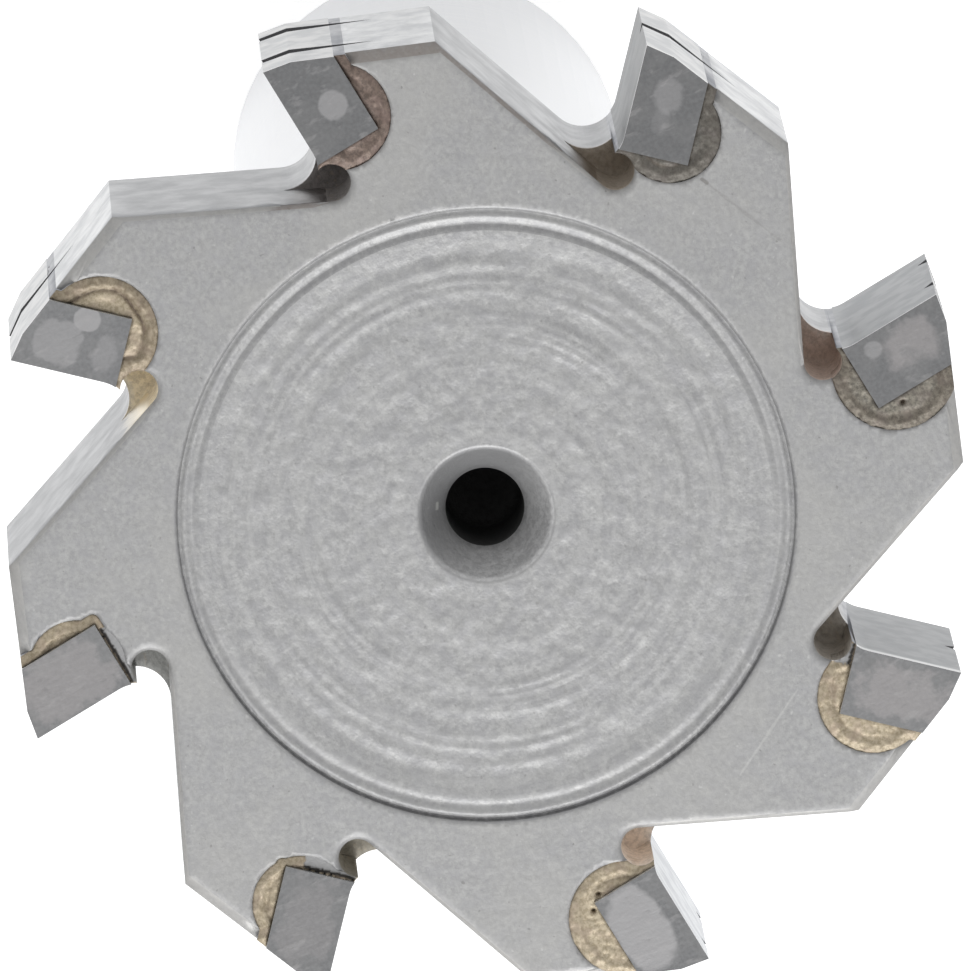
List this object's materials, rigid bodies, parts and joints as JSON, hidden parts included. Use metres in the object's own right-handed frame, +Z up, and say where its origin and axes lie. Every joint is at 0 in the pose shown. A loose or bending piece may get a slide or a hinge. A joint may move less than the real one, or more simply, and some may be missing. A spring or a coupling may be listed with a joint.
{
  "type": "woodruff keyseat cutter",
  "caption": "Shank-type woodruff keyseat cutter with a wide toothed steel head, brazed carbide tips, turned face recess and 60 degree centre holes.",
  "frame": {"origin": "centre of the shank's end face, on which the cutter stands", "axes": "+Z up along the cutter's axis, from the shank's end to the cutting face; +X points over the cutting edge of tooth 1; seen from above the cutter turns counter-clockwise"},
  "size_m": [0.0286, 0.0286, 0.071],
  "materials": {
    "steel_body": "grit-blasted matte steel with ground lands and a ground shank",
    "carbide": "ground cemented carbide, dark grey",
    "braze": "dull granular silver-brass braze"
  },
  "bodies": {
    "root": {"cutter_body": "steel_body", "carbide_tip_1": "carbide", "carbide_tip_2": "carbide", "carbide_tip_3": "carbide", "carbide_tip_4": "carbide", "carbide_tip_5": "carbide", "carbide_tip_6": "carbide", "carbide_tip_7": "carbide", "carbide_tip_8": "carbide", "braze_joint_1": "braze", "braze_joint_2": "braze", "braze_joint_3": "braze", "braze_joint_4": "braze", "braze_joint_5": "braze", "braze_joint_6": "braze", "braze_joint_7": "braze", "braze_joint_8": "braze"}
  },
  "joints": []
}
